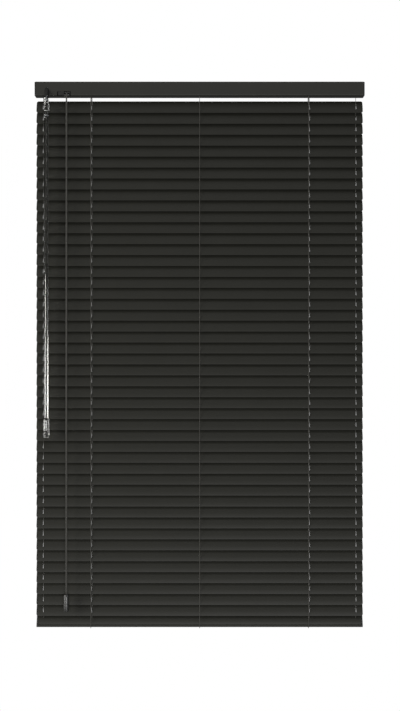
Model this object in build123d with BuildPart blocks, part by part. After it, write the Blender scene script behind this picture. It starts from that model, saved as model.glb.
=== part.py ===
from build123d import *

import os
from math import asin, atan2, cos, degrees, pi, radians, sin

# Venetian blind with 25 mm slats, 602 mm wide and about 1 m long, drawn closed.
# X runs along the headrail, -Y faces the room, +Z is up. The origin is the middle of the
# headrail's top. Lengths are in millimetres and angles in degrees.

# ---- driving dimensions ---------------------------------------------------------------
BLIND_WIDTH = 602.0
RAIL_SIZE = 25.4  # height and depth of the headrail
RAIL_SHEET = 0.8
RAIL_CORNER = 2.2
RAIL_LIP = 3.5
END_CAP = 2.0
COLLAR_LENGTH = 8.0  # of an end cap, inside the channel
COLLAR_WALL = 1.8
CRADLE_LENGTH = 18.0
CHEEK_OUT = 7.5  # from a ladder to each of its cradle's upright cheeks
CHEEK_THICK = 2.0

SLAT_COUNT = 47
SLAT_PITCH = 20.0
SLAT_LENGTH = 597.0
SLAT_WIDTH = 24.8
SLAT_CROWN = 2.0
SLAT_SHEET = 0.3
SLAT_CORNER = 3.5
FIRST_SLAT_Z = -44.2
CLOSED_TILT = 66.0  # room-side edge down

LADDER_X = (-199.0, 0.0, 199.0)
LADDER_REACH = 15.0  # from a slat's middle to each ladder string
STRING_RADIUS = 0.45
LIFT_X = (LADDER_X[0] + 1.8, LADDER_X[2] + 1.8)
LIFT_RADIUS = 0.65
LIFT_SLOT = (13.4, 1.5)  # long enough for the whole tilt, and hardly wider than the cord
GUIDE_X = (-286.0, 286.0)
GUIDE_RADIUS = 0.45
GUIDE_SLOT = (12.0, 1.1)
STRING_SLOT = (4.0, 2.8)  # where a ladder string passes the headrail's floor

ROD_Z = -12.0
ROD_RADIUS = 2.5
ROD_ENDS = (-288.0, 215.0)
DRUM_RADIUS = 7.0
DRUM_WIDTH = 7.2
FLANGE_RADIUS = 8.0
FLANGE_THICK = 0.8
RUNNING = 0.05  # radial clearance of a running fit
SEATED = 0.02  # radial clearance of a part pressed on the rod

WHEEL_TEETH = 12
WHEEL_PITCH_RADIUS = 5.25
WORM_PITCH_RADIUS = 2.25
WHEEL_WIDTH = 3.0
TOOTH_HEIGHT = 0.7  # each side of the pitch line
TOOTH = 0.9
TIP_CLEAR = 0.15  # the wheel's teeth are this much shorter than their pitch line says
WORM_SHAFT = 1.4
THREAD_TURNS = 2.5
WORM_SLOPE = 62.0  # the worm's shaft leans this far from level, down towards the room
TILTER_X = -278.5
SNOUT_RADIUS = 4.2
SNOUT_END = 23.0  # along the worm's axis from the wheel
WORM_BACK = 6.0  # the worm's cavity starts this far behind the wheel
HOUSING_LENGTH = 22.0
HOUSING_HEIGHT = 21.6
BALL_RADIUS = 2.3
CROSS_PIN = (0.6, 8.8)  # radius and length

WAND_Y = -20.5
WAND_RADIUS = 4.0
WAND_FOOT_Z = -648.5
FOOT_LENGTH = 33.5
FOOT_RADIUS = 6.2
SLEEVE_TOP_Z = -31.5
SLEEVE_END_Z = -55.3
SLEEVE_RADIUS = 4.75
SLEEVE_BORE = 3.7
PIN_SLOT = (2.6, 5.6)  # width and height of the two slots for the cross pin
FORK_END_Z = -67.2
FORK_RADIUS = 4.4
FORK_GAP = 3.4
PIN_RADIUS = 0.85

LOCK_X = -247.5
LOCK_WINDOW = 24.6
LOCK_LENGTH = 22.0
LOCK_HEIGHT = 15.0
WINDOW_DEPTH = 7.0  # of the floor, from the front
WINDOW_HEIGHT = 7.8  # of the front, from the floor
CORD_X = (-241.8, -243.2)  # the two pull cords, side by side
CORD_LEVEL = -21.0  # the cords' height inside the headrail
CORD_EXIT_Y = -11.0
CORD_TOP_Y = -14.6
CORD_FOOT_Y = -18.6
CORD_BEND = 3.0
TASSEL_TOP_Z = -933.7
TASSEL_LENGTH = 31.0
TASSEL_RADIUS = 4.8

BOTTOM_PITCHES = 48  # the bottom rail hangs one pitch below the last slat
BEAD_RADIUS = 2.5
BEAD_REACH = 10.0
BEAD_DROP = 1.4
BOTTOM_SHEET = 0.8
WEB_CROWN = 1.6
PLUG_RADIUS = 5.6
PLUG_WALL = 0.9
BOTTOM_CAP = 2.0

STRING_OUT = DRUM_RADIUS + 0.5  # a string hangs from its drum's side at this distance

# ---- directions and planes ------------------------------------------------------------
tilt = radians(CLOSED_TILT)
to_rear = (0, cos(tilt), sin(tilt))  # across a closed slat, towards its rear edge
outward = (0, -sin(tilt), cos(tilt))  # out of a closed slat's crowned side
string_y = LADDER_REACH * cos(tilt)
string_drop = LADDER_REACH * sin(tilt)
inside = RAIL_SIZE / 2 - RAIL_SHEET
slat_z = [FIRST_SLAT_Z - SLAT_PITCH * n for n in range(SLAT_COUNT)]
bottom_z = FIRST_SLAT_Z - SLAT_PITCH * (BOTTOM_PITCHES - 1)

slope = radians(WORM_SLOPE)
worm_dir = (0, -cos(slope), -sin(slope))
mesh_dir = (0, -sin(slope), cos(slope))  # from the rod to the worm
centre_distance = WHEEL_PITCH_RADIUS + WORM_PITCH_RADIUS
worm_plane = Plane(
    origin=(TILTER_X, centre_distance * mesh_dir[1], ROD_Z + centre_distance * mesh_dir[2]),
    x_dir=(1, 0, 0),
    z_dir=worm_dir,
)
joint_reach = (WAND_Y - worm_plane.origin.Y) / worm_dir[1]
joint_z = worm_plane.origin.Z + joint_reach * worm_dir[2]
lead = 2 * pi * WHEEL_PITCH_RADIUS / WHEEL_TEETH


STANDING = (Align.CENTER, Align.CENTER, Align.MIN)
ONWARD = (Align.MIN, Align.CENTER, Align.MIN)


def section_across(x, z, turned=(0, 1, 0)):
    """The plane square to X at x through the height z, for round parts on an axis along X."""
    return Plane(origin=(x, 0, z), x_dir=turned, z_dir=(1, 0, 0))


def level(x, y, z, up=1):
    """The level plane at that place, facing up or, for a cylinder that hangs, down."""
    return Plane(origin=(x, y, z), x_dir=(1, 0, 0), z_dir=(0, 0, up))


def across(x, z):
    """The plane square to X at x, turned with a closed slat whose middle is at height z."""
    return Plane(origin=(x, 0, z), x_dir=to_rear, z_dir=(1, 0, 0))


def along(z):
    """The plane of a closed slat whose middle is at height z."""
    return Plane(origin=(0, 0, z), x_dir=(1, 0, 0), z_dir=outward)


def crowned_strip(width, crown, sheet):
    """A curved strip's section: an arc of the given chord and crown, sheet thick above it."""
    radius = width**2 / (8 * crown) + crown / 2
    half = asin(width / 2 / radius)
    low = crown - radius
    outer = radius + sheet
    edge = (outer * sin(half), outer * cos(half) + low)
    with BuildLine() as outline:
        under = ThreePointArc((-width / 2, 0), (0, crown), (width / 2, 0))
        over = ThreePointArc((-edge[0], edge[1]), (0, crown + sheet), edge)
        Line(under @ 0, over @ 0)
        Line(under @ 1, over @ 1)
    make_face(outline.edges())


def cut_cord_slots(plane, depth):
    """The slots that let the lift and guide cords pass while the strip tilts about them."""
    with BuildSketch(plane) as slots:
        with Locations(*[(x, 0) for x in LIFT_X]):
            SlotOverall(*LIFT_SLOT, rotation=90)
        with Locations(*[(x, 0) for x in GUIDE_X]):
            SlotOverall(*GUIDE_SLOT, rotation=90)
    extrude(slots.sketch, amount=depth, both=True, mode=Mode.SUBTRACT)


def lay_cord(points, radii, radius):
    """A round cord along straight runs joined by arcs."""
    with BuildLine(Plane.XY) as route:
        if radii:
            FilletPolyline(*points, radius=radii)
        else:
            Line(*points)
    with BuildSketch(Plane(origin=route.line @ 0, z_dir=route.line % 0)) as section:
        Circle(radius)
    sweep(section.sketch, path=route.line)


def save(piece, name):
    """Label a finished piece and write its STEP file."""
    piece.part.label = name
    export_step(piece.part, f"parts/{name}.step")


os.makedirs("parts", exist_ok=True)

# ---- headrail: a steel channel, open at the top, with turned-in lips ---------------------
channel_length = BLIND_WIDTH - 2 * END_CAP
with BuildPart() as headrail:
    with BuildSketch(Plane.YZ.offset(-channel_length / 2)):
        with Locations((0, -RAIL_SIZE / 2)):
            Rectangle(RAIL_SIZE, RAIL_SIZE)
        fillet(vertices().group_by(Axis.Y)[0], RAIL_CORNER)
        offset(amount=-RAIL_SHEET, mode=Mode.SUBTRACT)
        Rectangle(RAIL_SIZE - 2 * RAIL_LIP, 3 * RAIL_SHEET, mode=Mode.SUBTRACT)
    extrude(amount=channel_length)
    with BuildSketch(Plane.XY.offset(-RAIL_SIZE)):
        with Locations(*[(x, side * STRING_OUT) for x in LADDER_X for side in (-1, 1)]):
            SlotOverall(*STRING_SLOT, rotation=90)
        with Locations(*[(x, 0) for x in LIFT_X]):
            Circle(1.6)
        with Locations(*[(x, 0) for x in GUIDE_X]):
            Circle(1.0)
    extrude(amount=RAIL_CORNER, mode=Mode.SUBTRACT)
    with BuildSketch(Plane.YZ.offset(LOCK_X - LOCK_WINDOW / 2)):
        with Locations((-RAIL_SIZE / 2, -RAIL_SIZE)):
            Rectangle(2 * WINDOW_DEPTH, 2 * WINDOW_HEIGHT)
    extrude(amount=LOCK_WINDOW, mode=Mode.SUBTRACT)
    with BuildSketch(worm_plane):
        Circle(SNOUT_RADIUS + 0.3)
    extrude(amount=SNOUT_END, mode=Mode.SUBTRACT)
save(headrail, "headrail")

# ---- headrail inserts: two end caps and a drum cradle over each ladder -------------------
collar_width = 2 * inside - 1.4
with BuildPart() as headrail_inserts:
    for side in (-1, 1):
        with Locations((side * (BLIND_WIDTH - END_CAP) / 2, 0, -RAIL_SIZE / 2)):
            Box(END_CAP, RAIL_SIZE, RAIL_SIZE)
        with Locations((side * (channel_length - COLLAR_LENGTH) / 2, 0, -RAIL_SIZE / 2)):
            Box(COLLAR_LENGTH, collar_width, RAIL_SIZE - 2 * RAIL_SHEET - 1.2)
        with Locations((side * (channel_length / 2 - COLLAR_LENGTH + 3.0), 0, -RAIL_SIZE / 2)):
            Box(6.0, collar_width - 2 * COLLAR_WALL, RAIL_SIZE, mode=Mode.SUBTRACT)
    for x in LADDER_X:
        with Locations((x, 0, 0.3 + RAIL_SHEET - RAIL_SIZE)):
            Box(CRADLE_LENGTH, 2 * inside - 1.8, 1.5, align=STANDING)
        for side in (-1, 1):
            with BuildSketch(Plane.YZ.offset(x + side * CHEEK_OUT)):
                with Locations((0, -16.0)):
                    Rectangle(2 * inside - 3.4, 17.0)
                with Locations((0, ROD_Z)):
                    Circle(ROD_RADIUS + RUNNING, mode=Mode.SUBTRACT)
                with Locations((0.6, CORD_LEVEL - 1.2)):
                    Rectangle(7.4, 6.0, mode=Mode.SUBTRACT)
            extrude(amount=CHEEK_THICK / 2, both=True)
        with BuildSketch(Plane.XY.offset(-RAIL_SIZE)):
            with Locations((x, STRING_OUT), (x, -STRING_OUT)):
                SlotOverall(*STRING_SLOT, rotation=90)
            with Locations((x + 0.6, 0)):
                SlotOverall(6.0, 3.0)
        extrude(amount=4.0, mode=Mode.SUBTRACT)
save(headrail_inserts, "headrail_inserts")

# ---- tilt rod, with a string drum in each cradle and the worm wheel -----------------------
with BuildPart() as tilt_rod:
    with BuildSketch(section_across(ROD_ENDS[0], ROD_Z)):
        Circle(ROD_RADIUS)
    extrude(amount=ROD_ENDS[1] - ROD_ENDS[0])
    for x in LADDER_X:
        for start, length, radius in (
            (-DRUM_WIDTH / 2 - FLANGE_THICK, FLANGE_THICK, FLANGE_RADIUS),
            (-DRUM_WIDTH / 2, DRUM_WIDTH, DRUM_RADIUS),
            (DRUM_WIDTH / 2, FLANGE_THICK, FLANGE_RADIUS),
        ):
            with BuildSketch(section_across(x + start, ROD_Z)):
                Circle(radius)
                Circle(ROD_RADIUS + SEATED, mode=Mode.SUBTRACT)
            extrude(amount=length)
    gap_angle = degrees(atan2(mesh_dir[2], mesh_dir[1]))
    with BuildSketch(section_across(TILTER_X - WHEEL_WIDTH / 2, ROD_Z)):
        Circle(WHEEL_PITCH_RADIUS - TOOTH_HEIGHT - TIP_CLEAR)
        with PolarLocations(WHEEL_PITCH_RADIUS - TIP_CLEAR, WHEEL_TEETH, gap_angle + 180 / WHEEL_TEETH):
            Rectangle(2 * (TOOTH_HEIGHT + TIP_CLEAR), TOOTH)
        Circle(ROD_RADIUS + SEATED, mode=Mode.SUBTRACT)
    extrude(amount=WHEEL_WIDTH)
save(tilt_rod, "tilt_rod")

# ---- tilter: housing with a snout, and the worm that turns the rod ------------------------
with BuildPart() as tilter_housing:
    with Locations((TILTER_X, 0, RAIL_SHEET + 0.4 - RAIL_SIZE)):
        Box(HOUSING_LENGTH, 2 * inside - 1.2, HOUSING_HEIGHT, align=STANDING)
    with BuildSketch(worm_plane.offset(WORM_BACK)):
        Circle(SNOUT_RADIUS)
    extrude(amount=SNOUT_END - WORM_BACK)
    with BuildSketch(worm_plane.offset(-WORM_BACK)):
        Circle(WORM_PITCH_RADIUS + TOOTH_HEIGHT + 0.4)
    extrude(amount=2 * WORM_BACK - 1.0, mode=Mode.SUBTRACT)
    with BuildSketch(worm_plane.offset(-WORM_BACK)):
        Circle(WORM_SHAFT + RUNNING)
    extrude(amount=WORM_BACK + SNOUT_END, mode=Mode.SUBTRACT)
    with BuildSketch(section_across(TILTER_X, ROD_Z)):
        Circle(WHEEL_PITCH_RADIUS + TOOTH_HEIGHT + 0.6)
    extrude(amount=WHEEL_WIDTH / 2 + 0.7, both=True, mode=Mode.SUBTRACT)
    with BuildSketch(section_across(TILTER_X, ROD_Z)):
        Circle(ROD_RADIUS + RUNNING)
    extrude(amount=HOUSING_LENGTH, both=True, mode=Mode.SUBTRACT)
save(tilter_housing, "tilter_housing")

with BuildPart() as tilter_worm:
    with BuildSketch(worm_plane.offset(-5.0)):
        Circle(WORM_SHAFT)
    extrude(amount=5.0 + joint_reach)
    # the thread crosses the wheel's side exactly at the foot of the centre line
    start = worm_plane.to_local_coords(Helix(lead, lead, WORM_SHAFT, worm_plane.origin, worm_dir) @ 0)
    facing = worm_plane.to_local_coords(worm_plane.origin - Vector(*mesh_dir))
    turn = (atan2(facing.Y, facing.X) - atan2(start.Y, start.X)) % (2 * pi)
    thread_start = -lead * (1 + turn / (2 * pi))
    with BuildLine(Plane.XY) as thread:
        Helix(lead, THREAD_TURNS * lead, WORM_SHAFT, worm_plane.offset(thread_start).origin, worm_dir)
    foot = worm_plane.to_local_coords(thread.line @ 0)
    radial = worm_plane.from_local_coords(Vector(foot.X, foot.Y, 0)) - worm_plane.origin
    thread_height = WORM_PITCH_RADIUS + TOOTH_HEIGHT - WORM_SHAFT
    with BuildSketch(Plane(origin=thread.line @ 0, x_dir=radial, z_dir=thread.line % 0)):
        with Locations((thread_height, 0)):
            Rectangle(thread_height + 0.2, TOOTH, align=(Align.MAX, Align.CENTER))
    sweep(path=thread.line, is_frenet=True)
    with Locations((TILTER_X, WAND_Y, joint_z)):
        Sphere(BALL_RADIUS)
        Cylinder(*CROSS_PIN, rotation=(0, 90, 0))
save(tilter_worm, "tilter_worm")

# ---- wand: clear sleeve with a fork, pin, rod and flared foot -------------------------------
pin_z = FORK_END_Z + 4.0
rod_top = FORK_END_Z - 0.6
foot_top = WAND_FOOT_Z + FOOT_LENGTH
with BuildPart() as wand:
    with BuildSketch(level(TILTER_X, WAND_Y, SLEEVE_END_Z)):
        Circle(SLEEVE_RADIUS)
    extrude(amount=SLEEVE_TOP_Z - SLEEVE_END_Z)
    with BuildSketch(level(TILTER_X, WAND_Y, joint_z - 5.0)):
        Circle(SLEEVE_BORE)
    extrude(amount=SLEEVE_TOP_Z - SLEEVE_END_Z, mode=Mode.SUBTRACT)
    with Locations((TILTER_X, WAND_Y, joint_z)):
        Box(2 * SLEEVE_RADIUS + 2.0, *PIN_SLOT, mode=Mode.SUBTRACT)
    with Locations((TILTER_X, WAND_Y, FORK_END_Z)):
        Cylinder(FORK_RADIUS, SLEEVE_END_Z - FORK_END_Z, align=STANDING)
        Box(FORK_GAP, 12.0, 9.0, align=STANDING, mode=Mode.SUBTRACT)
    with Locations((TILTER_X, WAND_Y, pin_z)):
        Cylinder(PIN_RADIUS + RUNNING, 12.0, rotation=(0, 90, 0), mode=Mode.SUBTRACT)
with BuildPart() as wand_rod:
    with BuildSketch(level(TILTER_X, WAND_Y, rod_top, up=-1)):
        Circle(WAND_RADIUS)
    extrude(amount=rod_top - foot_top)
    with Locations((TILTER_X, WAND_Y, rod_top - 0.4)):
        Box(FORK_GAP - 0.6, 6.4, 8.2, align=STANDING)
    with Locations((TILTER_X, WAND_Y, pin_z)):
        Cylinder(PIN_RADIUS + RUNNING, 12.0, rotation=(0, 90, 0), mode=Mode.SUBTRACT)
with BuildPart() as wand_foot:
    with BuildSketch(Plane(origin=(TILTER_X, WAND_Y, 0), x_dir=(1, 0, 0), z_dir=(0, -1, 0))):
        with BuildLine():
            flare = Spline(
                (WAND_RADIUS + 0.4, foot_top),
                (WAND_RADIUS + 0.9, foot_top - 0.5 * FOOT_LENGTH),
                (FOOT_RADIUS, WAND_FOOT_Z + 1.0),
            )
            rim = (FOOT_RADIUS - 0.8, WAND_FOOT_Z)
            Polyline(flare @ 1, rim, (0, WAND_FOOT_Z), (0, foot_top), flare @ 0)
        make_face()
    revolve(axis=Axis((TILTER_X, WAND_Y, 0), (0, 0, 1)))
with BuildPart() as wand_pin:
    with Locations((TILTER_X, WAND_Y, pin_z)):
        Cylinder(PIN_RADIUS, 8.0, rotation=(0, 90, 0))
tilt_wand = Compound(
    label="tilt_wand",
    children=[wand.part.solid(), wand_rod.part.solid(), wand_foot.part.solid(), wand_pin.part.solid()],
)
export_step(tilt_wand, "parts/tilt_wand.step")

# ---- cord lock: body, guide roller and jamming roller ----------------------------------------
roller_y = CORD_TOP_Y + CORD_BEND
roller_z = CORD_LEVEL - CORD_BEND
with BuildPart() as cord_lock:
    with Locations((LOCK_X, 0, RAIL_SHEET + 0.4 - RAIL_SIZE)):
        Box(LOCK_LENGTH, 2 * inside - 1.2, LOCK_HEIGHT, align=STANDING)
    with Locations((LOCK_X, 0, ROD_Z)):
        Box(LOCK_WINDOW, 2 * ROD_RADIUS + 1.6, 2 * ROD_RADIUS + 1.6, mode=Mode.SUBTRACT)
    with Locations((CORD_X[0] - 2.9, 0.9, CORD_LEVEL - 1.5)):
        Box(20.0, 4.8, 3.0, align=ONWARD, mode=Mode.SUBTRACT)
    with BuildSketch(Plane.YZ.offset(CORD_X[0] - 5.5)):
        with Locations((-4.5, CORD_LEVEL + 1.4)):
            Rectangle(15.6, 6.6)
        with Locations((roller_y, roller_z)):
            Circle(CORD_BEND - LIFT_RADIUS + 0.2)
    extrude(amount=9.6, mode=Mode.SUBTRACT)
    guide_roller = (roller_y, roller_z, CORD_BEND - LIFT_RADIUS - 0.1)
    jam_roller = (-6.5, CORD_LEVEL + 2.6, 1.8)
    for y, z, radius in (guide_roller, jam_roller):
        with BuildSketch(Plane.YZ.offset(CORD_X[0] - 5.2)):
            with Locations((y, z)):
                Circle(radius)
        extrude(amount=9.0)
save(cord_lock, "cord_lock")

# ---- slats -------------------------------------------------------------------------------------
for number, z in enumerate(slat_z, start=1):
    with BuildPart() as slat:
        with BuildSketch(across(-SLAT_LENGTH / 2, z)):
            crowned_strip(SLAT_WIDTH, SLAT_CROWN, SLAT_SHEET)
        extrude(amount=SLAT_LENGTH)
        with BuildSketch(along(z)):
            RectangleRounded(SLAT_LENGTH, SLAT_WIDTH + 0.02, SLAT_CORNER)
        extrude(amount=2 * SLAT_CROWN, both=True, mode=Mode.INTERSECT)
        cut_cord_slots(along(z), 2 * SLAT_CROWN)
    save(slat, f"slat_{number:02d}")

# ---- bottom rail: a crowned web between two rolled beads, its end caps and its plugs --------------
rail_sheet_length = SLAT_LENGTH - 2 * BOTTOM_CAP
web_width = 2 * (BEAD_REACH - 0.6 * BEAD_RADIUS)
with BuildPart() as rail_sheet:
    with BuildSketch(across(-rail_sheet_length / 2, bottom_z)):
        with Locations((0, 0.3)):
            with BuildLine():
                over = [(-web_width / 2, 0), (0, WEB_CROWN), (web_width / 2, 0)]
                crown = ThreePointArc(*over)
                below = ThreePointArc(*[(x, y - BOTTOM_SHEET) for x, y in over])
                Line(crown @ 0, below @ 0)
                Line(crown @ 1, below @ 1)
            make_face()
        with Locations((-BEAD_REACH, -BEAD_DROP), (BEAD_REACH, -BEAD_DROP)):
            Circle(BEAD_RADIUS)
        with Locations((-BEAD_REACH, -BEAD_DROP), (BEAD_REACH, -BEAD_DROP)):
            Circle(BEAD_RADIUS - BOTTOM_SHEET, mode=Mode.SUBTRACT)
    extrude(amount=rail_sheet_length)
    cut_cord_slots(along(bottom_z), 4.0)
with BuildPart() as rail_caps:
    for side in (-1, 1):
        middle = side * (SLAT_LENGTH - BOTTOM_CAP) / 2
        with BuildSketch(across(middle - BOTTOM_CAP / 2, bottom_z)):
            with Locations((0, -1.0)):
                RectangleRounded(2 * (BEAD_REACH + BEAD_RADIUS), 5.9, 2.4)
        extrude(amount=BOTTOM_CAP)
with BuildPart() as ladder_plugs:
    for x in LADDER_X:
        with BuildSketch(along(bottom_z).offset(-3.9)):
            with Locations((x, 0)):
                Circle(PLUG_RADIUS)
        extrude(amount=4.0)
        with BuildSketch(along(bottom_z).offset(-3.1)):
            with Locations((x, 0)):
                Circle(PLUG_RADIUS - PLUG_WALL)
        extrude(amount=4.0, mode=Mode.SUBTRACT)
bottom_rail = Compound(
    label="bottom_rail",
    children=[rail_sheet.part.solid(), *rail_caps.part.solids(), *ladder_plugs.part.solids()],
)
export_step(bottom_rail, "parts/bottom_rail.step")

# ---- ladder strings: one in front of the slats and one behind at each ladder ----------------------
string_top = -RAIL_SIZE - 1.2
ladder_sides = (
    ("ladder_cords_front", -1, string_top - 2 * string_drop),
    ("ladder_cords_rear", 1, string_top),
)
for name, side, top in ladder_sides:
    with BuildPart() as strings:
        end = bottom_z + side * string_drop
        with BuildSketch(Plane.XY.offset(end)):
            with Locations(*[(x, side * string_y) for x in LADDER_X]):
                Circle(STRING_RADIUS)
        extrude(amount=top - end)
    save(strings, name)

# ---- lift cords inside the blind, and the guide cords near the slats' ends --------------------------
turn_in = 2.4
LIFT_SWERVE = 40.0
lift_routes = (
    [
        (LIFT_X[0], 0, bottom_z),
        (LIFT_X[0], 0, CORD_LEVEL),
        (CORD_X[0], 0, CORD_LEVEL),
        (CORD_X[0], CORD_EXIT_Y, CORD_LEVEL),
    ],
    [
        (LIFT_X[1], 0, bottom_z),
        (LIFT_X[1], 0, CORD_LEVEL),
        (LIFT_X[1] - 30.0, 2.2, CORD_LEVEL),
        (CORD_X[1], 2.2, CORD_LEVEL),
        (CORD_X[1], CORD_EXIT_Y, CORD_LEVEL),
    ],
)
with BuildPart() as lift_cords:
    for route in lift_routes:
        corner_radii = [turn_in, LIFT_SWERVE, turn_in] if len(route) == 5 else [turn_in, turn_in]
        lay_cord(route, corner_radii, LIFT_RADIUS)
    for x in GUIDE_X:
        lay_cord([(x, 0, bottom_z), (x, 0, RAIL_SHEET - RAIL_SIZE)], None, GUIDE_RADIUS)
save(lift_cords, "lift_cords")

# ---- pull cords: the free ends of the two lift cords, and their tassel ---------------------------------
with BuildPart() as pull_cords:
    for x in CORD_X:
        route = [
            (x, CORD_EXIT_Y, CORD_LEVEL),
            (x, CORD_TOP_Y, CORD_LEVEL),
            (x, CORD_FOOT_Y, TASSEL_TOP_Z),
        ]
        lay_cord(route, [CORD_BEND], LIFT_RADIUS)
save(pull_cords, "pull_cords")
print("pull cord arc radius", CORD_BEND)
print("lift cord arc radii", turn_in, LIFT_SWERVE)

with BuildPart() as cord_tassel:
    with BuildSketch(level(sum(CORD_X) / 2, CORD_FOOT_Y, TASSEL_TOP_Z, up=-1)):
        Circle(TASSEL_RADIUS)
    extrude(amount=TASSEL_LENGTH)
    fillet(edges().group_by(Axis.Z)[-1], 1.4)
    fillet(edges().group_by(Axis.Z)[0], 0.6)
save(cord_tassel, "cord_tassel")
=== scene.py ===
import bmesh
import bpy
import numpy as np
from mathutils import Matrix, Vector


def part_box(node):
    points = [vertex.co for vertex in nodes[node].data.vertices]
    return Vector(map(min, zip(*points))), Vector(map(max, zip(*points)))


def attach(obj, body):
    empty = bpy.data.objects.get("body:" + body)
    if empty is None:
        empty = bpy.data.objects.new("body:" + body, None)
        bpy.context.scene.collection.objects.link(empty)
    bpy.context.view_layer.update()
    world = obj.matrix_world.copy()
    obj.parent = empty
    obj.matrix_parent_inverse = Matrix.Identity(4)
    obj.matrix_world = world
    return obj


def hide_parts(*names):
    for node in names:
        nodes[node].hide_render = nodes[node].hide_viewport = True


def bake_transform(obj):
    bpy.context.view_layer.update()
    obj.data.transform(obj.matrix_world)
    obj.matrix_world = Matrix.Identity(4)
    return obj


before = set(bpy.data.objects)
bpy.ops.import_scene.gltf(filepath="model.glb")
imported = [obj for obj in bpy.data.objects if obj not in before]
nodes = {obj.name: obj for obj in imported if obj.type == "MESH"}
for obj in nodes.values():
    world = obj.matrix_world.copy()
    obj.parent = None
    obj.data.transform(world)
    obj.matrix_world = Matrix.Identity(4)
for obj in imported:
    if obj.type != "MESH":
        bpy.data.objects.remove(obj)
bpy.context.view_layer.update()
MM = 0.001

# ---- headrail ----------------------------------------------------------------------------------
# A roll-formed steel channel with a charcoal powder coat. The front edge is folded back on
# itself, so a low step runs along the top of the front.
RAIL_DEPTH = (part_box("headrail")[1].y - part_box("headrail")[0].y) / MM
RAIL_HEIGHT = -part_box("headrail")[0].z / MM
CHANNEL_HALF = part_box("headrail")[1].x / MM
HEM_HEIGHT = 2.4
HEM_PROUD = 0.35
HEM_TOP = 0.02  # below the channel's top
HEM_SHOULDER = 0.4  # height of the rounded top corner


def linear(colour):
    """An sRGB hex colour as linear values: each channel goes back through the sRGB curve."""
    channels = np.array([int(colour[start : start + 2], 16) for start in (1, 3, 5)]) / 255
    curve = ((channels + 0.055) / 1.055) ** 2.4
    return (*np.where(channels <= 0.04045, channels / 12.92, curve), 1.0)


def add_node(tree, kind, settings, links=None):
    """Adds one node, sets its properties or sockets by name, and links its sockets."""
    node = tree.nodes.new(kind)
    for key, value in settings.items():
        if isinstance(key, str) and hasattr(node, key):
            setattr(node, key, value)
        else:
            node.inputs[key].default_value = value
    for key, source in (links or {}).items():
        tree.links.new(source, node.inputs[key])
    return node


def new_material(name):
    """An empty node material: returns it, its tree and its Principled shader."""
    material = bpy.data.materials.new(name)
    material.use_nodes = True
    return material, material.node_tree, material.node_tree.nodes["Principled BSDF"]


def coated_steel(name, dark, light, roughness, grain, bump):
    """Baked coating: a faint clouding between two near colours and a fine pebbled skin.

    grain is the pebbles' spacing and bump their height, both in millimetres.
    """
    material, tree, shader = new_material(name)
    place = add_node(tree, "ShaderNodeTexCoord", {})
    spot = {"Vector": place.outputs["Object"]}
    clouds = add_node(tree, "ShaderNodeTexNoise", {"Scale": 1 / (60 * MM), "Detail": 3.0}, spot)
    tones = {"data_type": "RGBA", 6: linear(dark), 7: linear(light)}
    tint = add_node(tree, "ShaderNodeMix", tones, {0: clouds.outputs[0]})
    pebbles = add_node(tree, "ShaderNodeTexNoise", {"Scale": 1 / (grain * MM), "Detail": 2.0}, spot)
    skin = add_node(
        tree,
        "ShaderNodeBump",
        {"Strength": 0.35, "Distance": bump * MM},
        {"Height": pebbles.outputs[0]},
    )
    gloss = add_node(
        tree,
        "ShaderNodeMapRange",
        {"To Min": roughness - 0.05, "To Max": roughness + 0.05},
        {"Value": pebbles.outputs[0]},
    )
    tree.links.new(tint.outputs[2], shader.inputs["Base Color"])
    tree.links.new(gloss.outputs[0], shader.inputs["Roughness"])
    tree.links.new(skin.outputs[0], shader.inputs["Normal"])
    shader.inputs["IOR"].default_value = 1.45
    shader.inputs["Specular IOR Level"].default_value = 0.25
    return material


def add_piece(name, points, faces, material, sharp=35.0):
    """A piece from points in millimetres and lists of corners, its faces turned outwards and its
    edges over sharp degrees kept crisp."""
    mesh = bpy.data.meshes.new(name)
    mesh.from_pydata((np.asarray(points) * MM).tolist(), [], faces)
    shape = bmesh.new()
    shape.from_mesh(mesh)
    bmesh.ops.recalc_face_normals(shape, faces=shape.faces)
    shape.to_mesh(mesh)
    shape.free()
    mesh.materials.append(material)
    mesh.shade_smooth()
    mesh.set_sharp_from_angle(angle=np.radians(sharp))
    piece = bpy.data.objects.new(name, mesh)
    bpy.context.collection.objects.link(piece)
    return piece


def skin_rings(rings, closed=False):
    """Points and faces of a surface through rings of equal count: quads from ring to ring, and a
    polygon over each end unless the last ring joins the first."""
    rings = np.asarray(rings, float)
    count, size = rings.shape[:2]
    index = np.arange(count * size).reshape(count, size)
    if closed:
        index = np.vstack([index, index[:1]])
    turned = np.roll(index, -1, axis=1)
    quads = np.stack([index[:-1], turned[:-1], turned[1:], index[1:]], axis=-1).reshape(-1, 4).tolist()
    ends = [] if closed else [index[0, ::-1].tolist(), index[-1].tolist()]
    return rings.reshape(-1, 3), quads + ends


def joined(parts):
    """Several (points, faces) as one, each part's faces numbered on from the points before it."""
    points, faces, start = [], [], 0
    for part_points, part_faces in parts:
        points.append(part_points)
        faces += [[corner + start for corner in face] for face in part_faces]
        start += len(part_points)
    return np.concatenate(points), faces


def extruded(outline, ends):
    """A section of (y, z) points carried along X from the first end to the second."""
    return skin_rings([np.column_stack([np.full(len(outline), x), outline]) for x in ends])


rail_coat = coated_steel("charcoal_powder_coat", "#262623", "#292926", 0.5, 0.5, 0.02)
nodes["headrail"].data.materials.clear()
nodes["headrail"].data.materials.append(rail_coat)

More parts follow.
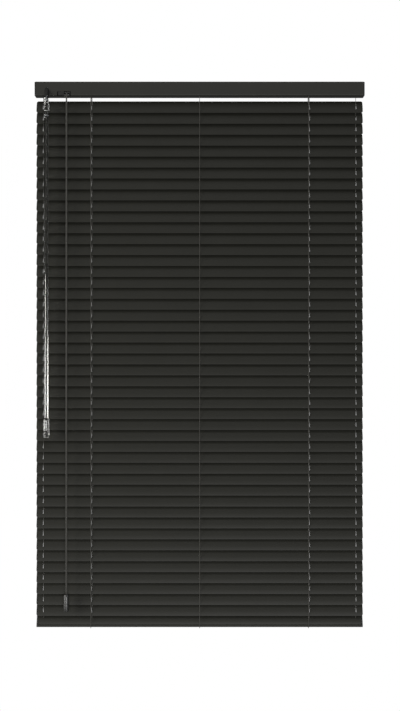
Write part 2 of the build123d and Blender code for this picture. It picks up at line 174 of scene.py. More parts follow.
# the folded edge's section: flat face, rounded top corner, and a quarter-round lower lip
lip_turn = np.radians(np.arange(0, 91, 15))
half_depth = RAIL_DEPTH / 2
hem_section = np.vstack(
    [
        [[-half_depth + HEM_SHOULDER, -HEM_TOP], [-half_depth + 0.3, -HEM_HEIGHT]],
        np.column_stack(
            [
                -half_depth - HEM_PROUD * np.sin(lip_turn),
                -HEM_HEIGHT + HEM_PROUD * (1 - np.cos(lip_turn)),
            ]
        ),
        np.column_stack(
            [
                -half_depth - HEM_PROUD * np.cos(lip_turn),
                -HEM_SHOULDER + (HEM_SHOULDER - HEM_TOP) * np.sin(lip_turn),
            ]
        ),
    ]
)
hem = add_piece("headrail_folded_edge", *extruded(hem_section, (-CHANNEL_HALF, CHANNEL_HALF)), rail_coat)
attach(hem, "frame")

# ---- end caps and drum cradles -----------------------------------------------------------------
# Moulded black plastic. A cap plugs each end of the channel with a short collar, and a cradle
# under each ladder carries the rod in two upright cheeks.
CAP_THICK = 2.0
CAP_ROUND = 0.6
CAP_CORNER = 2.2
COLLAR_LENGTH = 8.0
COLLAR_WALL = 1.0
COLLAR_SHORT = 3.2  # smaller than the headrail by this much
COLLAR_CORNER = 1.4
CHEEK_OUT = 7.5
CHEEK_THICK = 2.0
CHEEK_HEIGHT = 17.0
CHEEK_SHORT = 5.0  # narrower than the headrail by this much
CHEEK_BORE = 2.6
LADDER_X = (-199.0, 0.0, 199.0)
ROD_Z = -12.0


def moulded_plastic(name, colour, roughness):
    """Injection-moulded plastic: one colour, a fine spark-eroded skin and faint cloudy gloss."""
    material, tree, shader = new_material(name)
    place = add_node(tree, "ShaderNodeTexCoord", {})
    spot = {"Vector": place.outputs["Object"]}
    skin = add_node(tree, "ShaderNodeTexNoise", {"Scale": 1 / (0.35 * MM), "Detail": 2.0}, spot)
    relief = {"Strength": 0.25, "Distance": 0.02 * MM}
    bump = add_node(tree, "ShaderNodeBump", relief, {"Height": skin.outputs[0]})
    clouds = add_node(tree, "ShaderNodeTexNoise", {"Scale": 1 / (12 * MM)}, spot)
    gloss = add_node(
        tree,
        "ShaderNodeMapRange",
        {"To Min": roughness - 0.06, "To Max": roughness + 0.06},
        {"Value": clouds.outputs[0]},
    )
    tree.links.new(gloss.outputs[0], shader.inputs["Roughness"])
    tree.links.new(bump.outputs[0], shader.inputs["Normal"])
    shader.inputs["Base Color"].default_value = linear(colour)
    shader.inputs["IOR"].default_value = 1.53
    return material


def rounded_outline(width, height, radius, steps=6):
    """A rectangle about the origin whose corners are quarter circles, as (a, b) points."""
    turns = np.radians(np.linspace(0, 90, steps + 1))
    corners = []
    for quarter, (side, up) in enumerate(((1, 1), (-1, 1), (-1, -1), (1, -1))):
        angle = turns + np.radians(90 * quarter)
        centre = (side * (width / 2 - radius), up * (height / 2 - radius))
        corners.append(np.column_stack([np.cos(angle), np.sin(angle)]) * radius + centre)
    return np.vstack(corners)


def soft_plate(width, height, radius, ends, edge, middle):
    """A plate along X with rounded corners: its rings draw in along a quarter circle at both faces."""
    turns = np.radians((0, 30, 60, 90))
    way = np.sign(ends[1] - ends[0])
    stations = [(ends[0] + way * edge * (1 - np.sin(t)), edge * (1 - np.cos(t))) for t in turns[::-1]]
    stations += [(ends[1] - way * edge * (1 - np.sin(t)), edge * (1 - np.cos(t))) for t in turns]
    rings = []
    for x, inset in stations:
        outline = rounded_outline(width - 2 * inset, height - 2 * inset, max(radius - inset, 0.1))
        rings.append(np.column_stack([np.full(len(outline), x), outline + middle]))
    return skin_rings(rings)


def rounded_tube(width, height, wall, radius, ends, middle):
    """A rectangular tube along X: an outer and an inner rounded outline joined at both ends."""
    outer = rounded_outline(width, height, radius) + middle
    inner = rounded_outline(width - 2 * wall, height - 2 * wall, max(radius - wall, 0.1)) + middle
    rings = [
        np.column_stack([np.full(len(side), x), side])
        for x, side in ((ends[0], outer), (ends[1], outer), (ends[1], inner), (ends[0], inner))
    ]
    return skin_rings(rings, closed=True)


def holed_plate(width, height, middle, hole, hole_at, ends):
    """A plate across X with a round hole: rounded outline outside, circle inside, matched by angle."""
    outer = rounded_outline(width, height, 1.5) + middle
    angle = np.arctan2(outer[:, 1] - hole_at[1], outer[:, 0] - hole_at[0])
    inner = np.column_stack([np.cos(angle), np.sin(angle)]) * hole + hole_at
    rings = [
        np.column_stack([np.full(len(side), x), side])
        for x, side in ((ends[0], outer), (ends[1], outer), (ends[1], inner), (ends[0], inner))
    ]
    return skin_rings(rings, closed=True)


black_plastic = moulded_plastic("moulded_black_plastic", "#1b1b1a", 0.38)
rail_middle = (0.0, -RAIL_HEIGHT / 2)
for side, name in ((-1, "end_cap_left"), (1, "end_cap_right")):
    face = side * (CHANNEL_HALF + CAP_THICK)
    plate = soft_plate(
        RAIL_DEPTH, RAIL_HEIGHT, CAP_CORNER, (side * CHANNEL_HALF, face), CAP_ROUND, rail_middle
    )
    collar = rounded_tube(
        RAIL_DEPTH - COLLAR_SHORT,
        RAIL_HEIGHT - COLLAR_SHORT,
        COLLAR_WALL,
        COLLAR_CORNER,
        (side * (CHANNEL_HALF - COLLAR_LENGTH), side * (CHANNEL_HALF + 0.5)),
        rail_middle,
    )
    cap = add_piece(name, *joined([plate, collar]), black_plastic)
    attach(cap, "frame")
    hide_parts("headrail_inserts")

for number, x in enumerate(LADDER_X, start=1):
    cheeks = [
        holed_plate(
            RAIL_DEPTH - CHEEK_SHORT,
            CHEEK_HEIGHT,
            (0.0, -16.0),
            CHEEK_BORE,
            (0.0, ROD_Z),
            (x + side * CHEEK_OUT - CHEEK_THICK / 2, x + side * CHEEK_OUT + CHEEK_THICK / 2),
        )
        for side in (-1, 1)
    ]
    # the floor is two bars, so that the strings and the lift cord pass between them
    floors = [
        soft_plate(3.0, 1.2, 0.4, (x - 9, x + 9), 0.3, (side * 3.6, 0.9 - RAIL_HEIGHT + 0.8))
        for side in (-1, 1)
    ]
    cradle = add_piece(f"drum_cradle_{number}", *joined(cheeks + floors), black_plastic)
    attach(cradle, "frame")
    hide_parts("headrail_inserts")

# ---- tilt rod, string drums and worm wheel -----------------------------------------------------
# A zinc-plated steel rod runs along the headrail. Moulded drums with flanges are pressed on it
# over the ladders, and the tilter's small toothed wheel on its left end.
ROD_RADIUS = 2.5
DRUM_RADIUS = 7.0
FLANGE_RADIUS = 8.0
WHEEL_X = -278.5
WHEEL_TEETH = 12
TOOTH_TOP = 5.8
TOOTH_FOOT = 4.4
WHEEL_WIDTH = 3.0
HUB_RADIUS = 3.4


def lathed(profile, centre, axis="x", sides=48):
    """A turned shape: (distance, radius) points swung round an axis through centre."""
    angle = np.linspace(0, 2 * np.pi, sides, endpoint=False)
    rings = []
    for distance, radius in profile:
        round_a, round_b = radius * np.cos(angle), radius * np.sin(angle)
        along = np.full(sides, distance)
        ring = (along, round_a, round_b) if axis == "x" else (round_a, round_b, along)
        rings.append(np.column_stack(ring) + centre)
    return skin_rings(rings)


zinc, zinc_tree, zinc_shader = new_material("zinc_plated_steel")
zinc_place = add_node(zinc_tree, "ShaderNodeTexCoord", {})
zinc_spangle = add_node(
    zinc_tree,
    "ShaderNodeTexNoise",
    {"Scale": 1 / (1.5 * MM), "Detail": 4.0},
    {"Vector": zinc_place.outputs["Object"]},
)
zinc_gloss = add_node(
    zinc_tree, "ShaderNodeMapRange", {"To Min": 0.25, "To Max": 0.45}, {"Value": zinc_spangle.outputs[0]}
)
zinc_tree.links.new(zinc_gloss.outputs[0], zinc_shader.inputs["Roughness"])
zinc_shader.inputs["Base Color"].default_value = linear("#b9bcc0")
zinc_shader.inputs["Metallic"].default_value = 1.0

rod_low, rod_high = (corner.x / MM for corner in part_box("tilt_rod"))
rod_profile = [(rod_low, 1.9), (rod_low + 0.6, ROD_RADIUS), (rod_high - 0.6, ROD_RADIUS), (rod_high, 1.9)]
rod = add_piece("tilt_rod_steel", *lathed(rod_profile, (0, 0, ROD_Z), sides=24), zinc)
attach(rod, "tilt_rod")
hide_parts("tilt_rod")
drum_profile = [
    (-6.2, ROD_RADIUS + 0.02),
    (-6.2, HUB_RADIUS),
    (-4.4, HUB_RADIUS),
    (-4.4, FLANGE_RADIUS - 0.2),
    (-4.2, FLANGE_RADIUS),
    (-3.8, FLANGE_RADIUS),
    (-3.6, DRUM_RADIUS),
    (-3.2, DRUM_RADIUS - 0.3),
    (3.2, DRUM_RADIUS - 0.3),
    (3.6, DRUM_RADIUS),
    (3.8, FLANGE_RADIUS),
    (4.2, FLANGE_RADIUS),
    (4.4, FLANGE_RADIUS - 0.2),
    (4.4, HUB_RADIUS),
    (6.2, HUB_RADIUS),
    (6.2, ROD_RADIUS + 0.02),
]
for number, x in enumerate(LADDER_X, start=1):
    drum = add_piece(f"string_drum_{number}", *lathed(drum_profile, (x, 0, ROD_Z)), black_plastic)
    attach(drum, "tilt_rod")
    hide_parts("tilt_rod")

# the wheel's edge: a rounded square wave of twelve teeth about its middle radius
wheel_angle = np.linspace(0, 2 * np.pi, WHEEL_TEETH * 12, endpoint=False)
tooth_wave = np.clip(1.6 * np.cos(WHEEL_TEETH * wheel_angle), -1, 1)
wheel_radius = (TOOTH_TOP + TOOTH_FOOT) / 2 + (TOOTH_TOP - TOOTH_FOOT) / 2 * tooth_wave
wheel_edge = np.column_stack(
    [wheel_radius * np.cos(wheel_angle), wheel_radius * np.sin(wheel_angle) + ROD_Z]
)
wheel_ends = (WHEEL_X - WHEEL_WIDTH / 2, WHEEL_X + WHEEL_WIDTH / 2)
wheel = add_piece("worm_wheel", *extruded(wheel_edge, wheel_ends), black_plastic)
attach(wheel, "tilt_rod")
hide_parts("tilt_rod")

# ---- tilter ------------------------------------------------------------------------------------
# A plastic housing holds the steel worm against the wheel. Its snout comes out of the headrail's
# front corner, and the worm's shaft ends in a ball with a cross pin that turns the wand.
nodes["tilter_housing"].data.materials.clear()
nodes["tilter_housing"].data.materials.append(black_plastic)
nodes["tilter_worm"].data.materials.clear()
nodes["tilter_worm"].data.materials.append(zinc)

# ---- tilt wand ---------------------------------------------------------------------------------
# Clear acrylic: a moulded sleeve over the ball and a fork with a steel pin, then a drawn
# six-sided rod and a flared foot pushed over its end.
WAND_AT = (-278.5, -20.5)
JOINT_Z = -34.58
SLEEVE_TOP = -31.5
SLEEVE_FLOOR = -39.6
SLEEVE_FOOT = -55.3
SLEEVE_RADIUS = 4.75
SLEEVE_BORE = 3.7
FORK_FOOT = -67.2
PIN_Z = -63.2
ROD_TOP = -67.8
FOOT_TOP = -615.0
FOOT_END = -648.5
WAND_RADIUS = 4.0
PIN_SLOT_HALF = 1.3
FORK_RADIUS = 4.4
PIN_RADIUS = 0.85


def shell(outer, inner, kept, around=False, index=None):
    """A sheet with holes: two facing grids of points, the kept quads of each, and a wall along
    every edge that only one quad uses."""
    total = outer.shape[0] * outer.shape[1]
    if index is None:
        index = np.arange(total).reshape(outer.shape[:2])
    if around:
        index = np.hstack([index, index[:, :1]])
    corners = np.stack([index[:-1, :-1], index[:-1, 1:], index[1:, 1:], index[1:, :-1]], axis=-1)[kept]
    edges = np.concatenate([corners[:, [k, (k + 1) % 4]] for k in range(4)])
    free = edges[~np.isin(edges @ (total, 1), edges @ (1, total))]
    walls = np.column_stack([free[:, 1], free[:, 0], free[:, 0] + total, free[:, 1] + total])
    faces = np.concatenate([corners, corners[:, ::-1] + total, walls])
    used, compact = np.unique(faces, return_inverse=True)
    points = np.concatenate([outer.reshape(-1, 3), inner.reshape(-1, 3)])[used]
    return points, compact.reshape(faces.shape).tolist()


acrylic, acrylic_tree, acrylic_shader = new_material("clear_acrylic")
acrylic_place = add_node(acrylic_tree, "ShaderNodeTexCoord", {})
acrylic_haze = add_node(
    acrylic_tree,
    "ShaderNodeTexNoise",
    {"Scale": 1 / (3 * MM), "Detail": 3.0},
    {"Vector": acrylic_place.outputs["Object"]},
)
acrylic_gloss = add_node(
    acrylic_tree, "ShaderNodeMapRange", {"To Min": 0.03, "To Max": 0.12}, {"Value": acrylic_haze.outputs[0]}
)
acrylic_tree.links.new(acrylic_gloss.outputs[0], acrylic_shader.inputs["Roughness"])
acrylic_shader.inputs["Base Color"].default_value = linear("#f4f5f3")
acrylic_shader.inputs["Transmission Weight"].default_value = 1.0
acrylic_shader.inputs["IOR"].default_value = 1.49

# the sleeve: a tube with two slots for the cross pin, over a solid lower half
wall_angle = np.radians(np.arange(0, 360, 10))
wall_z = np.array([SLEEVE_TOP, SLEEVE_TOP - 0.28, JOINT_Z - 1.4, JOINT_Z - 2.8, SLEEVE_FLOOR])
wall_round = np.column_stack([np.cos(wall_angle), np.sin(wall_angle)])


def sleeve_wall(radius):
    """A grid of points on a cylinder of that radius, one row for each height of the sleeve."""
    ring = wall_round * radius + WAND_AT
    return np.stack([np.column_stack([ring, np.full(len(ring), z)]) for z in wall_z])


slot_columns = np.abs(np.sin(wall_angle + np.radians(5))) * SLEEVE_RADIUS < PIN_SLOT_HALF
kept_wall = np.ones((len(wall_z) - 1, len(wall_angle)), bool)
kept_wall[1:3] = ~slot_columns
sleeve_tube = shell(sleeve_wall(SLEEVE_RADIUS), sleeve_wall(SLEEVE_BORE), kept_wall, around=True)
sleeve_solid = lathed(
    [(SLEEVE_FLOOR, SLEEVE_RADIUS), (SLEEVE_FOOT + 0.6, SLEEVE_RADIUS), (SLEEVE_FOOT, SLEEVE_RADIUS - 0.6)],
    (*WAND_AT, 0),
    axis="z",
)
sleeve = add_piece("wand_sleeve", *joined([sleeve_tube, sleeve_solid]), acrylic)

# the fork: two cheeks, each a flat-sided slice of a cylinder, with a waist that joins the sleeve
fork_parts = []
for side in (-1, 1):
    sweep = np.radians(np.linspace(-67, 67, 15))
    slice_outline = FORK_RADIUS * np.column_stack([side * np.cos(sweep), np.sin(sweep)])
    rings = [
        np.column_stack([slice_outline * scale + WAND_AT, np.full(len(sweep), z)])
        for z, scale in ((SLEEVE_FOOT + 0.2, 1.0), (FORK_FOOT + 0.8, 1.0), (FORK_FOOT, 0.92))
    ]
    fork_parts.append(skin_rings(rings))
fork = add_piece("wand_fork", *joined(fork_parts), acrylic)
pin_profile = [(-4.0, 0.6), (-3.8, PIN_RADIUS), (3.8, PIN_RADIUS), (4.0, 0.6)]
pin = add_piece("wand_pin", *lathed(pin_profile, (WAND_AT[0], WAND_AT[1], PIN_Z), sides=20), zinc)

# the rod: a hexagon with rounded corners, drawn from a tongue that fits the fork
HEX_ROUND = 0.7
corner_angle = np.radians(np.arange(6) * 60 + 30)
fan = np.radians(np.linspace(-30, 30, 5))
hex_outline = np.concatenate(
    [
        (WAND_RADIUS - HEX_ROUND / np.cos(np.radians(30))) * np.array([[np.cos(a), np.sin(a)]])
        + HEX_ROUND * np.column_stack([np.cos(a + fan), np.sin(a + fan)])
        for a in corner_angle
    ]
)
rod_rings = [
    np.column_stack([hex_outline * scale + WAND_AT, np.full(len(hex_outline), z)])
    for z, scale in ((ROD_TOP, 0.8), (ROD_TOP - 0.8, 1.0), (FOOT_TOP + 2, 1.0))
]
tongue_outline = rounded_outline(2.6, 6.2, 1.0)
tongue_rings = [
    np.column_stack([tongue_outline * scale + WAND_AT, np.full(len(tongue_outline), z)])
    for z, scale in ((ROD_TOP - 0.4, 1.0), (PIN_Z + 2.4, 1.0), (PIN_Z + 3.0, 0.8))
]
rod_and_tongue = joined([skin_rings(rod_rings), skin_rings(tongue_rings)])
wand_rod = add_piece("wand_rod", *rod_and_tongue, acrylic, sharp=50)

# the foot: a bell curve from the rod's width to the flared rim, hollow below
flare = np.linspace(0, 1, 14)
foot_outer = np.column_stack([FOOT_TOP + (FOOT_END - FOOT_TOP) * flare, 4.4 + 1.7 * flare**2.2])
foot_hollow = [(FOOT_END, 5.2), (FOOT_END + 4, 4.6), (FOOT_END + 10, 0.6)]
foot_profile = [(FOOT_TOP, WAND_RADIUS), *foot_outer.tolist(), *foot_hollow]
foot = add_piece("wand_foot", *lathed(foot_profile, (*WAND_AT, 0), axis="z"), acrylic)
for piece in (sleeve, fork, wand_rod, foot):
    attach(piece, "tilt_wand")
    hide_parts("tilt_wand")
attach(pin, "tilt_wand")
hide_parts("tilt_wand")

# ---- cord lock ---------------------------------------------------------------------------------
# A moulded body in the headrail's window. The cords turn down over a guide roller at the front, and
# a second roller behind it jams them when they are pulled sideways.
nodes["cord_lock"].data.materials.clear()
nodes["cord_lock"].data.materials.append(black_plastic)

# ---- slats -------------------------------------------------------------------------------------
# Roll-formed aluminium strip, 25 mm wide and crowned, with rounded corners, coil-coated in matt
# charcoal. Long slots let the lift cords and the guide cords pass while the slats tilt.
SLAT_COUNT = 47
SLAT_PITCH = 20.0
FIRST_SLAT_Z = -44.2
SLAT_LENGTH = 597.0
SLAT_WIDTH = 24.8
SLAT_CROWN = 2.0
SLAT_SHEET = 0.3
SLAT_CORNER = 3.5
CLOSED = np.radians(66.0)
# each slot's place along the slat, length and width; the cords just fill the width
LIFT_SLOTS = ((-197.2, 13.4, 1.302), (200.8, 13.4, 1.302))
GUIDE_SLOTS = ((-286.0, 12.0, 0.902), (286.0, 12.0, 0.902))


def placed(x, across, out, middle):
    """Points of a closed strip: across runs up its chord to the rear edge, and out runs off its
    crowned side."""
    y = across * np.cos(CLOSED) - out * np.sin(CLOSED)
    z = middle + across * np.sin(CLOSED) + out * np.cos(CLOSED)
    return np.stack(np.broadcast_arrays(x, y, z), axis=-1)


def slot_half_width(across, length, width):
    """Half the width of a round-ended slot at a distance from its middle, and none past its end."""
    beyond = np.clip(np.abs(across) - (length - width) / 2, 0, width / 2)
    return np.sqrt((width / 2) ** 2 - beyond**2)


quarter = np.sin(np.radians(np.arange(0, 91, 18)))
half_rows = np.concatenate(
    [
        [2.0, 4.0],
        *(
            (length - width) / 2 + width / 2 * quarter
            for _, length, width in (GUIDE_SLOTS[0], LIFT_SLOTS[0])
        ),
        SLAT_WIDTH / 2 - SLAT_CORNER + SLAT_CORNER * quarter,
    ]
)
rows = np.unique(np.round(np.concatenate([-half_rows, [0.0], half_rows]), 4))
corner_past = np.clip(np.abs(rows) - (SLAT_WIDTH / 2 - SLAT_CORNER), 0, SLAT_CORNER)
slat_end = SLAT_LENGTH / 2 - SLAT_CORNER + np.sqrt(SLAT_CORNER**2 - corner_past**2)
slots = (GUIDE_SLOTS[0], LIFT_SLOTS[0], LIFT_SLOTS[1], GUIDE_SLOTS[1])
columns = [-slat_end]
for x, length, width in slots:
    half_width = slot_half_width(rows, length, width)
    columns += [x - half_width, x + half_width]
columns = np.stack([*columns, slat_end], axis=1)
slat_index = np.arange(columns.size).reshape(columns.shape)
for pair in range(1, columns.shape[1] - 1, 2):
    shut = columns[:, pair + 1] - columns[:, pair] < 1e-6
    slat_index[shut, pair + 1] = slat_index[shut, pair]
slat_kept = np.zeros((len(rows) - 1, columns.shape[1] - 1), bool)
slat_kept[:, ::2] = True
bend_radius = SLAT_WIDTH**2 / (8 * SLAT_CROWN) + SLAT_CROWN / 2
slat_rise = np.sqrt(bend_radius**2 - rows**2) - (bend_radius - SLAT_CROWN)
bend_depth = bend_radius - SLAT_CROWN
outer_scale = 1 + SLAT_SHEET / bend_radius
outer_rows = rows * outer_scale
outer_rise = (slat_rise + bend_depth) * outer_scale - bend_depth

slat_coat = coated_steel("charcoal_coil_coat", "#20201c", "#23231f", 0.5, 0.4, 0.012)
slat_middles = FIRST_SLAT_Z - SLAT_PITCH * np.arange(SLAT_COUNT)
for number, middle in enumerate(slat_middles, start=1):
    outer = placed(columns, outer_rows[:, None], outer_rise[:, None], middle)
    inner = placed(columns, rows[:, None], slat_rise[:, None], middle)
    strip = shell(outer, inner, slat_kept, index=slat_index)
    slat = add_piece(f"slat_{number:02d}_strip", *strip, slat_coat)
    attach(slat, f"slat_{number:02d}")
    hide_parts(f"slat_{number:02d}")

# ---- bottom rail -------------------------------------------------------------------------------
# A heavier roll-formed steel strip with a rolled bead along each edge, coated like the slats, with
# black end caps and a plug over each ladder's knots.
BOTTOM_Z = FIRST_SLAT_Z - SLAT_PITCH * SLAT_COUNT
BEAD_RADIUS = 2.5
BEAD_REACH = 10.0
BEAD_DROP = 1.4
WEB_EDGE = 8.3
WEB_CROWN = 1.6
WEB_OFFSET = 0.3
RAIL_SHEET = 0.8
RAIL_END = SLAT_LENGTH / 2 - CAP_THICK


def bead(side):
    """The outer run of a rolled bead: most of a circle, from the web's crowned face to its
    hollow one."""
    turn = np.radians(np.linspace(128, -211, 30))
    across = side * (BEAD_REACH + BEAD_RADIUS * np.cos(turn))
    return np.column_stack([across, BEAD_RADIUS * np.sin(turn) - BEAD_DROP])


web = np.linspace(-WEB_EDGE, WEB_EDGE, 15)
web_rise = WEB_OFFSET + WEB_CROWN * (1 - (web / 8.5) ** 2)
rail_outline = np.vstack(
    [
        np.column_stack([web, web_rise]),
        bead(1),
        np.column_stack([web, web_rise - RAIL_SHEET])[::-1],
        bead(-1)[::-1],
    ]
)
rail_rings = [placed(x, rail_outline[:, 0], rail_outline[:, 1], BOTTOM_Z) for x in (-RAIL_END, RAIL_END)]
bottom = add_piece("bottom_rail_strip", *skin_rings(rail_rings), slat_coat, sharp=30)
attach(bottom, "bottom_rail")
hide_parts("bottom_rail")

for side, name in ((-1, "bottom_cap_left"), (1, "bottom_cap_right")):
    rings = []
    for past_end, inset in ((-0.5, 0.0), (1.5, 0.0), (1.85, 0.2), (CAP_THICK, 0.6)):
        outline = rounded_outline(25.0 - 2 * inset, 5.9 - 2 * inset, 2.4 - inset)
        station = side * (RAIL_END + past_end)
        rings.append(placed(station, outline[:, 0], outline[:, 1] - 1.0, BOTTOM_Z))
    cap = add_piece(name, *skin_rings(rings), black_plastic)
    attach(cap, "bottom_rail")
    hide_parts("bottom_rail")

plug_profile = ((0.0, 5.0), (-0.4, 5.6), (-3.3, 5.6), (-3.9, 5.0), (-3.9, 2.2), (-3.2, 1.6), (-3.2, 0.3))
plug_angle = np.linspace(0, 2 * np.pi, 32, endpoint=False)
for number, x in enumerate(LADDER_X, start=1):
    rings = [
        placed(x + radius * np.cos(plug_angle), radius * np.sin(plug_angle), out, BOTTOM_Z)
        for out, radius in plug_profile
    ]
    plug = add_piece(f"ladder_plug_{number}", *skin_rings(rings), black_plastic)
    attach(plug, "bottom_rail")
    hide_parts("bottom_rail")

# ---- ladders and inner cords -------------------------------------------------------------------
# Braided polyester strings, front and rear, with a thin rung under every slat. The strings leave the
# drums through the headrail's floor, and their ends tuck round the bottom rail into its plugs.
STRING_RADIUS = 0.45
RUNG_RADIUS = 0.3
LADDER_REACH = 15.0
RAIL_FLOOR = -RAIL_HEIGHT


def braided_cord(name, dark, light):
    """Braided polyester: diagonal bobbins 0.8 mm apart, two tones, and a soft sheen."""
    material, tree, shader = new_material(name)
    place = add_node(tree, "ShaderNodeTexCoord", {})
    turned = {"Rotation": (0.0, np.radians(35.0), 0.0)}
    lean = add_node(tree, "ShaderNodeMapping", turned, {"Vector": place.outputs["Object"]})
    braid = add_node(
        tree,
        "ShaderNodeTexWave",
        {"bands_direction": "Z", "Scale": 0.314 / (0.8 * MM), "Distortion": 1.5},
        {"Vector": lean.outputs[0]},
    )
    tones = {"data_type": "RGBA", 6: linear(dark), 7: linear(light)}
    tint = add_node(tree, "ShaderNodeMix", tones, {0: braid.outputs[1]})
    relief = {"Strength": 0.5, "Distance": 0.08 * MM}
    bump = add_node(tree, "ShaderNodeBump", relief, {"Height": braid.outputs[1]})
    tree.links.new(tint.outputs[2], shader.inputs["Base Color"])
    tree.links.new(bump.outputs[0], shader.inputs["Normal"])
    shader.inputs["Roughness"].default_value = 0.75
    shader.inputs["Sheen Weight"].default_value = 0.25
    return material


def tube(points, radius, sides=8):
    """A round section carried along a line that stays square to X: each ring lies in X and the
    line's own normal."""
    points = np.asarray(points, float)
    tangent = np.gradient(points, axis=0)
    tangent /= np.linalg.norm(tangent, axis=1)[:, None]
    level = np.array([1.0, 0.0, 0.0])
    upright = np.cross(tangent, level)
    angle = np.linspace(0, 2 * np.pi, sides, endpoint=False)
    rings = points[:, None] + radius * (
        np.cos(angle)[None, :, None] * level + np.sin(angle)[None, :, None] * upright[:, None]
    )
    return skin_rings(rings)


string_braid = braided_cord("braided_string", "#282722", "#383630")
for name in ("ladder_cords_front", "ladder_cords_rear", "lift_cords"):
    nodes[name].data.materials.clear()
    nodes[name].data.materials.append(string_braid)

for number, middle in enumerate(slat_middles, start=1):
    span = np.linspace(-LADDER_REACH, LADDER_REACH, 4)
    rungs = [tube(placed(x, span, -RUNG_RADIUS - 0.05, middle), RUNG_RADIUS, sides=6) for x in LADDER_X]
    rung = add_piece(f"ladder_rungs_{number:02d}", *joined(rungs), string_braid)
    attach(rung, f"slat_{number:02d}")

string_in = LADDER_REACH * np.cos(CLOSED)
string_drop = LADDER_REACH * np.sin(CLOSED)
for side, name in ((-1, "front"), (1, "rear")):
    leave = np.array([side * (DRUM_RADIUS + 0.5), RAIL_FLOOR])
    reach = np.array([side * string_in, FIRST_SLAT_Z + side * string_drop])
    share = np.linspace(0, 1, 25)[:, None]
    lead_line = leave + (reach - leave) * share
    leads = [
        tube(np.column_stack([np.full(len(share), x), lead_line]), STRING_RADIUS) for x in LADDER_X
    ]
    lead = add_piece(f"ladder_lead_{name}", *joined(leads), string_braid)
    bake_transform(lead)
    # inside the headrail the string hangs straight from the drum's side
    drop = np.array(
        [[side * (DRUM_RADIUS + 0.1), ROD_Z], [leave[0], RAIL_FLOOR + 6], [leave[0], RAIL_FLOOR]]
    )
    drops = [tube(np.column_stack([np.full(3, x), drop]), STRING_RADIUS) for x in LADDER_X]
    inside = add_piece(f"ladder_drop_{name}", *joined(drops), string_braid)
    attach(inside, "frame")
    # round the bead and under it to the plug
    tuck_across = side * np.array([14.4, 14.0, 13.3, 12.4, 11.2, 9.8, 8.4, 7.0, 5.0])
    tuck_out = np.array([0.0, -0.9, -1.9, -2.8, -3.4, -3.7, -3.7, -3.5, -3.1])
    tucks = [tube(placed(x, tuck_across, tuck_out, BOTTOM_Z), STRING_RADIUS) for x in LADDER_X]
    tuck = add_piece(f"ladder_tuck_{name}", *joined(tucks), string_braid)
    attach(tuck, "bottom_rail")

# ---- pull cords and tassel ---------------------------------------------------------------------
# The two lift cords' free ends: braided polyester that comes out over the lock's guide roller and
# hangs straight down into a hollow moulded tassel.
CORD_X = (-241.8, -243.2)
CORD_RADIUS = 0.65
TASSEL_TOP = -933.7
TASSEL_FOOT = -964.7
TASSEL_RADIUS = 4.8
TASSEL_AT = (sum(CORD_X) / 2, -18.6)

tassel_plastic = moulded_plastic("moulded_tassel_plastic", "#232322", 0.3)
tassel_profile = [
    (TASSEL_TOP - 0.1, 1.6),
    (TASSEL_TOP - 0.1, 3.0),
    (TASSEL_TOP - 0.5, 3.7),
    (TASSEL_TOP - 1.6, 4.2),
    (TASSEL_TOP - 6.0, 4.45),
    (TASSEL_TOP - 16.0, 4.65),
    (TASSEL_FOOT + 1.4, TASSEL_RADIUS),
    (TASSEL_FOOT + 0.4, TASSEL_RADIUS - 0.2),
    (TASSEL_FOOT, TASSEL_RADIUS - 0.7),
    (TASSEL_FOOT, TASSEL_RADIUS - 1.5),
    (TASSEL_FOOT + 1.0, TASSEL_RADIUS - 1.8),
    (TASSEL_FOOT + 20.0, TASSEL_RADIUS - 2.2),
    (TASSEL_FOOT + 20.0, 0.4),
]
bell = lathed(tassel_profile, (*TASSEL_AT, 0), axis="z")
tassel = add_piece("cord_tassel_bell", *bell, tassel_plastic)
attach(tassel, "frame")
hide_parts("cord_tassel")

cord_braid = braided_cord("braided_pull_cord", "#23221e", "#34322d")
for number, x in enumerate(CORD_X, start=1):
    # over the guide roller, then straight down into the tassel
    route = [
        (x, -11.0, -21.0),
        (x, -14.6, -21.0),
        (x, -14.64, -29.4),
        (x, TASSEL_AT[1], TASSEL_TOP),
    ]
    curve = bpy.data.curves.new(f"pull_cord_{number}", "CURVE")
    curve.dimensions = "3D"
    curve.bevel_depth = CORD_RADIUS * MM
    curve.bevel_resolution = 3
    curve.use_fill_caps = True
    spline = curve.splines.new("NURBS")
    spline.points.add(len(route) - 1)
    for point, place in zip(spline.points, route):
        point.co = (*(np.array(place) * MM), 1.0)
    spline.order_u = 3
    spline.use_endpoint_u = True
    spline.resolution_u = 24
    curve.materials.append(cord_braid)
    pull_cord = bpy.data.objects.new(f"pull_cord_{number}", curve)
    bpy.context.collection.objects.link(pull_cord)
    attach(pull_cord, "frame")
    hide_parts("pull_cords")

# ---- studio ------------------------------------------------------------------------------------
# A pale disc of floor under the blind, a white room, and five softboxes: the strongest at the left
# and low in front, weak ones above and at the right, and one at the left for the edges.
FLOOR_Z = -1.4
FLOOR_RADIUS = 0.74
FLOOR_THICK = 0.02
FLOOR_ROUND = 0.004
AIM = np.array([0.0, 0.0, -0.48])

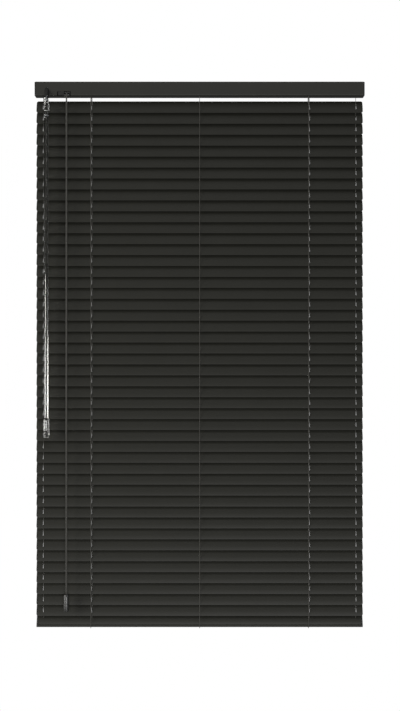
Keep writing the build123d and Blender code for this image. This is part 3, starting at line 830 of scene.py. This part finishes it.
floor_angle = np.linspace(0, 2 * np.pi, 96, endpoint=False)
floor_rings = [
    np.column_stack([radius * np.cos(floor_angle), radius * np.sin(floor_angle), np.full(96, z)])
    for radius, z in (
        (FLOOR_RADIUS, FLOOR_Z - FLOOR_THICK),
        (FLOOR_RADIUS, FLOOR_Z - FLOOR_ROUND),
        (FLOOR_RADIUS - FLOOR_ROUND, FLOOR_Z),
    )
]
pale, _, pale_shader = new_material("pale_floor")
pale_shader.inputs["Base Color"].default_value = linear("#ebebe8")
pale_shader.inputs["Roughness"].default_value = 0.7
floor_points, floor_faces = skin_rings(floor_rings)
add_piece("studio_floor", floor_points / MM, floor_faces, pale)


def softbox(name, place, size, power, colour):
    """A rectangular light at a place in metres, turned to face the blind's middle."""
    light = bpy.data.lights.new(name, "AREA")
    light.shape = "RECTANGLE"
    light.size, light.size_y = size
    light.energy = power
    light.color = linear(colour)[:3]
    lamp = bpy.data.objects.new(name, light)
    lamp.location = place
    to_blind = Vector(AIM - np.array(place))
    lamp.rotation_euler = to_blind.to_track_quat("-Z", "Y").to_euler()
    bpy.context.collection.objects.link(lamp)


softbox("softbox_left", (-2.3, -1.25, -0.4), (1.0, 1.8), 60.0, "#fffdf8")
softbox("softbox_low", (0.3, -3.0, -1.2), (2.0, 0.8), 52.0, "#ffffff")
softbox("softbox_high", (0.0, -2.2, 1.9), (2.0, 0.8), 12.0, "#ffffff")
softbox("softbox_right", (2.3, -1.25, -0.4), (1.2, 2.0), 10.0, "#fbfdff")
softbox("softbox_rim", (-1.9, 0.35, -0.5), (0.4, 1.8), 9.0, "#ffffff")

world = bpy.data.worlds.new("white_room")
bpy.context.scene.world = world
world.use_nodes = True
room = world.node_tree
seen = add_node(room, "ShaderNodeLightPath", {})
room_light = room.nodes["Background"]
room_light.inputs["Color"].default_value = (1.0, 1.0, 1.0, 1.0)
# the camera sees white, while the blind is lit by only a little of it
room_strength = add_node(
    room, "ShaderNodeMapRange", {"To Min": 0.12, "To Max": 1.0}, {"Value": seen.outputs["Is Camera Ray"]}
)
room.links.new(room_strength.outputs[0], room_light.inputs["Strength"])
bpy.context.scene.view_settings.view_transform = "Standard"

camera_data = bpy.data.cameras.new("camera")
camera_data.lens = 66.3
camera_data.sensor_width = 36.0
camera_data.clip_end = 50.0
camera = bpy.data.objects.new("camera", camera_data)
camera.location = (0.0007, -2.4, -0.4993)
camera.rotation_euler = (np.radians(90.0), 0.0, 0.0)
bpy.context.collection.objects.link(camera)
bpy.context.scene.camera = camera
